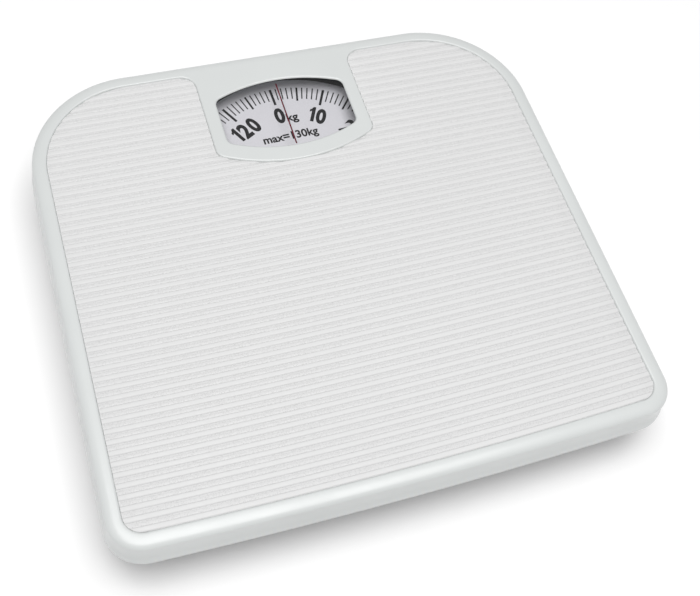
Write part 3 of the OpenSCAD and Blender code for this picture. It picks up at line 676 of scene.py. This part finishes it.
def outer_x(y):
    """Half width of the mat at y."""
    gap = BORDER + MAT_GAP
    if y > REAR_CY:
        r = REAR_CORNER_R - gap
        return REAR_CX + math.sqrt(max(0, r * r - (y - REAR_CY) ** 2))
    if y < FRONT_CY:
        r = FRONT_CORNER_R - gap
        return FRONT_CX + math.sqrt(max(0, r * r - (y - FRONT_CY) ** 2))
    return SIDE_X - gap


def inner_x(y):
    """Half width of the raised frame at y, or 0 in front of it."""
    half_w = ISLAND_HALF_W + MAT_GAP
    corner_r = ISLAND_CORNER_R + MAT_GAP
    r = ISLAND_NEAR_R + MAT_GAP
    near_y = ISLAND_NEAR_Y - MAT_GAP
    reach = r - corner_r
    cx = half_w - corner_r
    a = math.asin(cx / reach)
    cy = near_y + r - reach * math.cos(a)
    if y <= near_y:
        return 0.0
    if y < cy - corner_r * math.cos(a):
        return math.sqrt(max(0, r * r - (near_y + r - y) ** 2))
    if y < cy:
        return cx + math.sqrt(max(0, corner_r ** 2 - (y - cy) ** 2))
    if y > FLARE_CY:
        flare_r = ISLAND_FLARE_R - MAT_GAP
        return FLARE_CX - math.sqrt(max(0, flare_r ** 2 - (y - FLARE_CY) ** 2))
    return half_w


def rib_profile(u):
    """Height of the mat above its valleys, where u runs from 0 to 1 across one rib."""
    stops = [(0.0, 0.10), (0.06, 0.42), (0.11, 0.58), (0.20, 0.60), (0.40, 0.60), (0.47, 0.56),
             (0.53, 0.30), (0.57, 0.06), (0.66, 0.20), (0.76, 0.26), (0.86, 0.20), (0.94, 0.02),
             (1.0, 0.10)]
    for (u0, h0), (u1, h1) in zip(stops, stops[1:]):
        if u <= u1:
            return h0 + (h1 - h0) * (u - u0) / (u1 - u0)
    return stops[-1][1]


def mat_rows():
    """Rows of the mat from front to rear: (position, height above the valleys)."""
    front = -REAR_Y + BORDER + MAT_GAP
    rear = REAR_Y - BORDER - MAT_GAP
    steps = [0.0, 0.03, 0.06, 0.11, 0.2, 0.3, 0.4, 0.47, 0.5, 0.53, 0.57, 0.62, 0.66, 0.76, 0.86, 0.94]
    count = math.ceil((rear - front) / RIB_PITCH)
    rows = [front + (i + u) * RIB_PITCH for i in range(count) for u in steps]
    rows = [v for v in rows if v < rear - 0.01] + [rear]
    island = ISLAND_NEAR_Y - MAT_GAP
    close = (0.01, 0.05, 0.15, 0.3, 0.6, 1.0)
    extra = [island] + [island + d for d in close] + [rear - d for d in close]
    extra += [front + d for d in close]
    rows = sorted(set(rows + extra))
    return [(v, rib_profile((v - front) / RIB_PITCH % 1.0)) for v in rows]


def row_y(v, x):
    """Ribs are straight at the rear and bow like the front edge at the front."""
    rear = REAR_Y - BORDER
    share = (rear - v) / (2 * rear)
    return v + share * x * x / (2 * (BOW_R - BORDER))


def row_ends(v):
    """Half widths where a row begins and ends, found by repeated steps along the bowed row."""
    inner = 0.0
    outer = SIDE_X - BORDER
    for _ in range(30):
        inner = inner_x(row_y(v, inner))
        outer = outer_x(row_y(v, outer))
    return inner, outer


def mat_surface():
    """Points, faces and depth in the valleys of the mat's top, in rows along its ribs."""
    base_z = RIM_Z - RIB_H - MAT_SUNK
    edge_drop = 0.15
    edge_w = 0.45
    columns = 14
    points = []
    faces = []
    low = []
    rows = mat_rows()
    for v, h in rows:
        inner, outer = row_ends(v)
        start = inner + edge_w if inner > 0 else 0.0
        xs = [inner] + [start + (outer - edge_w - start) * i / columns for i in range(columns + 1)]
        xs.append(outer)
        for side in (-1, 1):
            for i, x in enumerate(xs):
                rim = i == len(xs) - 1 or (i == 0 and inner > 0)
                z = base_z + h - (edge_drop if rim else 0.0)
                points.append((side * x, row_y(v, x), z))
                # Depth in the valleys, which the vinyl material turns into painted shade.
                low.append(1.0 - h / RIB_H)
    across = columns + 3
    for k in range(len(rows) - 1):
        for side in (0, 1):
            a = (2 * k + side) * across
            b = a + 2 * across
            for i in range(across - 1):
                faces.append((a + i, a + i + 1, b + i + 1, b + i))
    return points, faces, low


def close_mat(mesh):
    """Gives the mat's top its walls, down to the recess, and its underside."""
    bm = bmesh.new()
    bm.from_mesh(mesh)
    bmesh.ops.remove_doubles(bm, verts=bm.verts, dist=1e-7)
    bmesh.ops.dissolve_degenerate(bm, edges=bm.edges, dist=1e-8)
    border = [e for e in bm.edges if e.is_boundary]
    made = bmesh.ops.extrude_edge_only(bm, edges=border)["geom"]
    for vert in (g for g in made if isinstance(g, bmesh.types.BMVert)):
        vert.co.z = (RECESS_Z + 0.05) * MM
    bottom = [e for e in bm.edges if e.is_boundary]
    bmesh.ops.triangle_fill(bm, edges=bottom, use_beauty=False)
    bmesh.ops.recalc_face_normals(bm, faces=bm.faces)
    bm.to_mesh(mesh)
    bm.free()


def make_mat():
    """Ribbed vinyl mat with a soft edge, just below the rim."""
    points, faces, low = mat_surface()
    mesh = bpy.data.meshes.new("mat_skin")
    mesh.from_pydata([Vector(p) * MM for p in points], [], faces)
    # The depth in the valleys goes to the material, which paints shade with it.
    valley = mesh.attributes.new("valley", "FLOAT", "POINT")
    valley.data.foreach_set("value", low)
    close_mat(mesh)
    finish_shading(mesh, 60)
    mat = bpy.data.objects.new("mat_skin", mesh)
    bpy.context.scene.collection.objects.link(mat)
    place(mat, "platform", "mat_vinyl", VINYL, "platform_mat")


make_cover()
make_mat()


# ---------------------------------------------------------------- base tray and feet
def add_beads(shell, low_z):
    """Stiffening beads in the tray's floor; returns their edges on its under and upper side."""
    front_y = -86
    rear_y = -32
    section = [(6.0, 0.0), (5.2, 0.12), (4.2, 0.75), (3.4, 0.9)]
    edges_under = []
    edges_over = []
    for x in (-36, 0, 36):
        under = []
        over = []
        for half_w, rise in section:
            plan = stadium(x, half_w, front_y - half_w, rear_y + half_w)
            under.append(shell.ring(plan, low_z + rise))
            over.append(shell.ring(plan, low_z + SHEET + rise))
        shell.skins(under)
        shell.skins(over)
        shell.plate([under[-1]], False)
        shell.plate([over[-1]], True)
        edges_under.append(under[0])
        edges_over.append(over[0])
    return edges_under, edges_over


def make_tray():
    """Pressed steel tray: rounded floor edge, leaning wall, rolled top, slot for the zero wheel."""
    wall_inset = 11
    top_inset = SIDE_X - TRAY_HIGH.x
    low_z = TRAY_LOW.z
    top_z = TRAY_HIGH.z
    slot_gap = 0.8
    slot_low = WHEEL_LOW.z - slot_gap
    slot_high = WHEEL_HIGH.z + slot_gap
    slot_half = 12
    stops = (slot_half, -slot_half)

    def wall(z):
        return wall_inset + (top_inset - wall_inset) * (z - low_z) / (top_z - low_z)

    def rings(section):
        return [shell.ring(plan_outline(inset, stops), z) for inset, z in section]

    shell = Shell()
    outside = [(wall_inset + 3.2, low_z), (wall_inset + 2.0, low_z + 0.12),
               (wall_inset + 1.0, low_z + 0.55), (wall_inset + 0.25, low_z + 1.4), (wall(8), 8)]
    low_out = rings(outside + [(wall(slot_low), slot_low)])
    high_out = rings([(wall(slot_high), slot_high), (wall(top_z - 0.6), top_z - 0.6),
                      (top_inset + 0.15, top_z - 0.12), (top_inset + 0.4, top_z),
                      (top_inset + 0.65, top_z - 0.12), (wall(top_z - 0.6) + SHEET, top_z - 0.6),
                      (wall(slot_high) + SHEET, slot_high)])
    low_in = rings([(wall(slot_low) + SHEET, slot_low), (wall(8) + SHEET, 8),
                    (wall_inset + 1.4, low_z + SHEET + 0.9), (wall_inset + 2.4, low_z + SHEET + 0.2),
                    (wall_inset + 3.4, low_z + SHEET)])
    slot_step = plan_outline(0, stops).index((slot_half, REAR_Y))
    shell.skins(low_out)
    shell.skins(high_out)
    shell.skins(low_in)
    shell.skin(low_out[-1], high_out[0], skip=(slot_step,))
    shell.skin(high_out[-1], low_in[0], skip=(slot_step,))
    corners = [(ring[slot_step], ring[slot_step + 1])
               for ring in (low_out[-1], high_out[0], high_out[-1], low_in[0])]
    for (a0, a1), (b0, b1) in zip((corners[0], corners[1]), (corners[3], corners[2])):
        shell.faces.append((a0, a1, b1, b0))
    shell.faces.append((corners[0][0], corners[1][0], corners[2][0], corners[3][0]))
    shell.faces.append((corners[0][1], corners[1][1], corners[2][1], corners[3][1]))
    beads_under, beads_over = add_beads(shell, low_z)
    shell.plate([low_out[0]] + beads_under, False)
    shell.plate([low_in[-1]] + beads_over, True)
    tray = shell.build("tray_skin", 45)
    weigh_normals(tray)
    place(tray, "base", "base_paint", TRAY_ENAMEL, "base_tray")


def hold_tab(x, z0, z1, hole_z):
    """Lug with rounded corners and a hole, as an extruded plate along X."""
    half_w = 5.0
    corner = 1.6
    hole_r = 1.1
    top = arc(half_w - corner, z1 - corner, corner, 0, 90, 5) + arc(
        corner - half_w, z1 - corner, corner, 90, 180, 5)
    outline = top + [(-half_w, z0), (half_w, z0)]
    hole = arc(0, hole_z, hole_r, 0, 360, 24)[:-1]
    shell = Shell()
    faces = {}
    for side in (-1, 1):
        faces[side] = [shell.ring(outline, side * SHEET / 2), shell.ring(hole, side * SHEET / 2)]
        shell.plate(faces[side], side > 0)
    shell.skin(faces[-1][0], faces[1][0])
    shell.skin(faces[1][1], faces[-1][1])
    return [(x + z, y, up) for y, up, z in shell.points], shell.faces


def make_tray_lugs():
    """The lugs for the hold-down springs, which belong to the tray."""
    root_z = TRAY_LOW.z + SHEET - 0.1
    top_z = 11.7
    hole_z = 9.5
    lugs = [hold_tab(side * HOLD_SPRING_X, root_z, top_z, hole_z) for side in (-1, 1)]
    obj = mesh_object("tray_lugs", *joined(lugs), 40)
    place(obj, "base", "base_paint", TRAY_ENAMEL)


def make_feet():
    """Rubber feet with round treads, buttoned through the tray."""
    profile = [(0.0, 0.7), (2.3, 0.7), (2.6, 0.0), (4.3, 0.0), (4.6, 0.7), (6.2, 0.7), (6.5, 0.0),
               (9.4, 0.0), (10.2, 0.18), (10.75, 0.7), (11.0, 1.5), (11.0, 3.2), (10.8, 3.75),
               (10.3, 4.0), (2.98, 4.0), (2.98, 4.8), (3.6, 4.85), (3.3, 5.6), (2.4, 6.45),
               (1.6, 6.6), (0.0, 6.6)]
    places = [(-98, -70), (98, -70), (-90, 66), (90, 66)]
    feet = [revolved(profile, 48, x, y) for x, y in places]
    obj = mesh_object("rubber_feet", *joined(feet), 35)
    place(obj, "base", "foot_rubber", RUBBER, "feet")


make_tray()
make_tray_lugs()
make_feet()


# ---------------------------------------------------------------- dial
DIVISIONS = 130
ZERO_ANGLE = 91.63
INK_T = 0.03
TICK_OUTER_R = 61.5
DIGIT_BASE_R = 38.5
DIGIT_H = 10.1
DIGIT_W = 5.5
ONE_W = 3.1
DIGIT_GAP = 0.75
DIGIT_BOLD = 0.60
DIGIT_SHARE = 0.76       # a digit's height as a share of the type size


def dial_angle(kilograms):
    """Where a weight is printed, in degrees: it falls clockwise as the weight grows."""
    return ZERO_ANGLE - 360 * kilograms / DIVISIONS


def tick(kilograms):
    """A radial bar, longer and bolder at every 5 and 10 kilograms."""
    if kilograms % 10 == 0:
        inner_r, width = 50.6, 1.35
    elif kilograms % 5 == 0:
        inner_r, width = 52.2, 1.05
    else:
        inner_r, width = 53.7, 0.66
    turn = Matrix.Rotation(math.radians(dial_angle(kilograms)), 3, "Z")
    corners = [(inner_r, -width / 2), (TICK_OUTER_R, -width / 2), (TICK_OUTER_R, width / 2),
               (inner_r, width / 2)]
    points = [turn @ Vector((x, y, z)) + Vector((0, DIAL_Y, DIAL_Z))
              for z in (0.0, INK_T) for x, y in corners]
    faces = [(0, 3, 2, 1), (4, 5, 6, 7)]
    faces += [(i, (i + 1) % 4, 4 + (i + 1) % 4, 4 + i) for i in range(4)]
    return points, faces


def lettering(text, size, bold, width):
    """Points and faces of a word of a given width, centred on X with its baseline at Y 0."""
    curve = bpy.data.curves.new("word", "FONT")
    curve.body = text
    curve.size = size
    curve.align_x = "CENTER"
    curve.offset = bold
    curve.extrude = INK_T / 2
    curve.resolution_u = 5
    word = bpy.data.objects.new("word", curve)
    bpy.context.scene.collection.objects.link(word)
    bpy.context.view_layer.update()
    mesh = bpy.data.meshes.new_from_object(word.evaluated_get(
        bpy.context.evaluated_depsgraph_get()))
    points = [v.co.copy() for v in mesh.vertices]
    faces = [tuple(p.vertices) for p in mesh.polygons]
    bpy.data.objects.remove(word)
    bpy.data.curves.remove(curve)
    bpy.data.meshes.remove(mesh)
    low = min(p.x for p in points)
    high = max(p.x for p in points)
    stretch = width / (high - low)
    middle = (low + high) / 2
    return [Vector(((p.x - middle) * stretch, p.y, p.z + INK_T / 2)) for p in points], faces


def on_dial(word, x, y, angle):
    """Sets a word on the dial's face, at x and y in a frame turned so that angle points up."""
    points, faces = word
    turn = Matrix.Rotation(math.radians(angle - 90), 3, "Z")
    centre = Vector((0, DIAL_Y, DIAL_Z))
    return [turn @ (p + Vector((x, y, 0))) + centre for p in points], faces


def one(width):
    """The digit 1: an upright bar with a short flag."""
    bar = 1.9
    edge = width / 2
    outline = [(edge - bar, 0), (edge, 0), (edge, DIGIT_H), (edge - bar + 0.5, DIGIT_H),
               (edge - bar - 0.3, DIGIT_H - 1.5), (-edge, DIGIT_H - 2.1), (-edge, DIGIT_H - 3.7),
               (edge - bar, DIGIT_H - 2.9)]
    shell = Shell()
    low = shell.ring(outline, 0)
    high = shell.ring(outline, INK_T)
    shell.skin(low, high)
    shell.plate([low], False)
    shell.plate([high], True)
    return [Vector(p) for p in shell.points], shell.faces


def number(text):
    """A number in condensed bold digits, drawn one by one so that the 1 stays narrow."""
    widths = [ONE_W if digit == "1" else DIGIT_W for digit in text]
    x = -(sum(widths) + DIGIT_GAP * (len(text) - 1)) / 2
    digits = []
    for digit, width in zip(text, widths):
        if digit == "1":
            points, faces = one(width)
        else:
            points, faces = lettering(digit, DIGIT_H / DIGIT_SHARE, DIGIT_BOLD, width)
        digits.append(([p + Vector((x + width / 2, 0, 0)) for p in points], faces))
        x += width + DIGIT_GAP
    return joined(digits)


def make_dial():
    """Scale printed on the disc: ticks, a number every ten kilograms, the unit and the capacity."""
    ticks = mesh_object("dial_ticks", *joined([tick(i) for i in range(DIVISIONS)]), 30)
    place(ticks, "dial", "dial_face", BLACK_INK)
    words = [on_dial(number(str(kilograms)), 0, DIGIT_BASE_R, dial_angle(kilograms))
             for kilograms in range(0, DIVISIONS, 10)]
    numbers = mesh_object("dial_numbers", *joined(words), 30)
    place(numbers, "dial", "dial_face", BLACK_INK)
    small = [on_dial(lettering("kg", 7.1, 0.22, 6.3), 6.4, DIGIT_BASE_R - 0.2, ZERO_ANGLE),
             on_dial(lettering("max=130kg", 7.0, 0.20, 30.5), 1.8, 26.5, ZERO_ANGLE)]
    marks = mesh_object("dial_small_print", *joined(small), 30)
    place(marks, "dial", "dial_face", BLACK_INK)


make_dial()


# ---------------------------------------------------------------- springs
def helix(r, z0, z1, turns, per_turn):
    """Points along a coil round Z."""
    total = turns * per_turn
    return [Vector((r * math.cos(2 * math.pi * i / per_turn), r * math.sin(2 * math.pi * i / per_turn),
                    z0 + (z1 - z0) * i / total)) for i in range(total + 1)]


def eye_spring(coil_r, eye_r, length, turns):
    """Path of a tension spring along Z from 0 to length, with an eye at each end."""
    lead = 1.6
    eye = [Vector((eye_r * math.cos(math.radians(a)), 0, eye_r * math.sin(math.radians(a))))
           for a in range(-250, 1, 10)]
    run = [Vector((eye_r + (coil_r - eye_r) * t, -0.4 * math.sin(math.pi * t), lead * t))
           for t in (0.25, 0.5, 0.75, 0.95)]
    low = [p + Vector((0, 0, eye_r)) for p in eye + run]
    high = [Vector((p.x, -p.y, length - p.z)) for p in reversed(low)]
    start = eye_r + lead + 0.4
    return low + helix(coil_r, start, length - start, turns, 24) + high


def make_main_spring():
    """Main spring, held at the top by the anchor nut and at the bottom by the plug."""
    low, high = box_mm("main_spring")
    wire_r = 1.1
    coil_r = (high.x - low.x) / 2 - wire_r
    axis_y = (low.y + high.y) / 2
    path = [p + Vector((0, axis_y, 0))
            for p in helix(coil_r, low.z + wire_r, high.z - wire_r, 4, 40)]
    obj = mesh_object("main_spring_coil", *tube(path, wire_r, (1, 0, 0), 16), 60)
    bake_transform(obj)
    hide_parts("main_spring")
    dress(obj, SPRING_STEEL)


def make_hold_springs():
    """Two light springs that hold the cover down on the levers."""
    low, high = box_mm("platform_springs")
    wire_r = 0.5
    for side, word in ((-1, "left"), (1, "right")):
        x = side * HOLD_SPRING_X
        length = high.z - low.z - 2 * wire_r
        path = [p + Vector((x, 0, low.z + wire_r)) for p in eye_spring(3, 2.2, length, 12)]
        obj = mesh_object("hold_spring_" + word, *tube(path, wire_r, (0, 1, 0), 10), 60)
        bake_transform(obj)
        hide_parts("platform_springs")
        dress(obj, SPRING_STEEL)


def make_rack_spring():
    """Light spring that draws the rack back against the bell crank."""
    low, high = box_mm("rack_spring")
    wire_r = 0.3
    coil_r = (high.x - low.x) / 2 - wire_r
    x = (low.x + high.x) / 2
    z = (low.z + high.z) / 2
    length = high.y - low.y - 2 * wire_r
    path = [Vector((x + p.y, low.y + wire_r + p.z, z + p.x))
            for p in eye_spring(coil_r, coil_r, length, 18)]
    obj = mesh_object("rack_spring_coil", *tube(path, wire_r, (1, 0, 0), 10), 60)
    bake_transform(obj)
    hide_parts("rack_spring")
    dress(obj, SPRING_STEEL)


make_main_spring()
make_hold_springs()
make_rack_spring()


# ---------------------------------------------------------------- finishes of the CAD nodes
# Each line holds the material, the record's slot, the width of the rounded edges and the nodes.
FINISHES = [
    (CLEAR, "clear_plastic", 0.3, ["window_lens"]),
    (RED_LINE, "hairline_red", 0.0, ["index_hairline"]),
    (DIAL_FACE, "dial_face", 0.08, ["dial_disc"]),
    (ZINC, "zinc_steel", 0.2, [
        "spring_bracket", "dial_bridge", "crank_bracket", "bell_crank", "lens_clips",
        "cover_spring_tabs", "fulcrum_bracket_front_left", "fulcrum_bracket_front_right",
        "fulcrum_bracket_rear_left", "fulcrum_bracket_rear_right", "load_post_front_left",
        "load_post_front_right", "load_post_rear_left", "load_post_rear_right",
        "lever_saddle_left", "lever_saddle_right"]),
    (LEVER_STEEL, "lever_steel", 0.25, [
        "long_lever_left", "long_lever_right", "short_lever_left", "short_lever_right"]),
    (PIN_STEEL, "pin_steel", 0.15, [
        "long_lever_left_pins", "long_lever_right_pins", "short_lever_left_pins",
        "short_lever_right_pins", "calibration_pin", "spring_plug", "zero_screw", "rack_pin",
        "crank_pivot_pin", "dial_shaft", "shaft_clip", "bearing_screws", "frame_rivets"]),
    (BRASS, "brass", 0.12, [
        "calibration_plate", "anchor_nut", "rack", "pinion", "dial_hub", "bearing_plate"]),
    (NYLON, "white_nylon", 0.15, ["rack_guide"]),
    (WHEEL_PLASTIC, "wheel_plastic", 0.15, ["zero_wheel"]),
]


def soften_edges(obj, width):
    """Welds the imported faces and rounds their sharp edges, as modifiers only."""
    weld = obj.modifiers.new("weld", "WELD")
    weld.merge_threshold = 1e-6
    bevel = obj.modifiers.new("bevel", "BEVEL")
    bevel.width = width * MM
    bevel.segments = 2
    bevel.limit_method = "ANGLE"
    bevel.angle_limit = math.radians(40)
    bevel.use_clamp_overlap = True


for material, slot_name, edge_r, names in FINISHES:
    for name in names:
        dress(NODES[name], material)
        if edge_r:
            soften_edges(NODES[name], edge_r)

bpy.context.view_layer.update()
